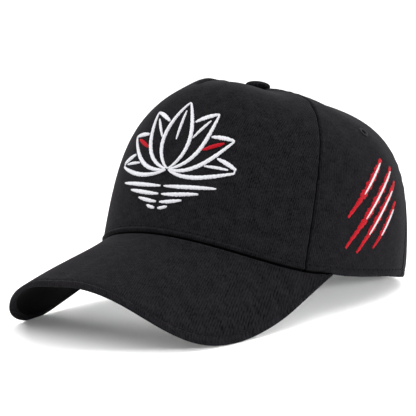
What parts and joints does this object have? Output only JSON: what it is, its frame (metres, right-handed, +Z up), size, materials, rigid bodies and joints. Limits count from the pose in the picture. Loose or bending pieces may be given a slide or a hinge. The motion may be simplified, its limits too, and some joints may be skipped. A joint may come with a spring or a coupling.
{
  "type": "five-panel baseball cap",
  "caption": "Structured baseball cap with a high front panel, curved visor, covered top button, sewn eyelets and an adjustable cloth strap across an open arch at the back.",
  "frame": {"origin": "middle of the bounding box's base, on the floor that the visor's sides and the rear of the rim rest on", "axes": "+Z up, the visor points to -Y, the wearer's left is +X"},
  "size_m": [0.171, 0.2656, 0.1377],
  "materials": {
    "black_twill": "washed black cotton twill, matte",
    "sweatband_cloth": "black cotton, matte",
    "eyelet_thread": "black embroidery thread, slight sheen",
    "clasp_steel": "dark antique metal, satin"
  },
  "bodies": {
    "root": {"front_panel": "black_twill", "side_panel_left": "black_twill", "side_panel_right": "black_twill", "back_panel_left": "black_twill", "back_panel_right": "black_twill", "visor": "black_twill", "top_button": "black_twill", "back_strap": "black_twill", "sweatband": "sweatband_cloth", "eyelet_side_left": "eyelet_thread", "eyelet_side_right": "eyelet_thread", "eyelet_back_left": "eyelet_thread", "eyelet_back_right": "eyelet_thread", "strap_clasp": "clasp_steel"}
  },
  "joints": []
}
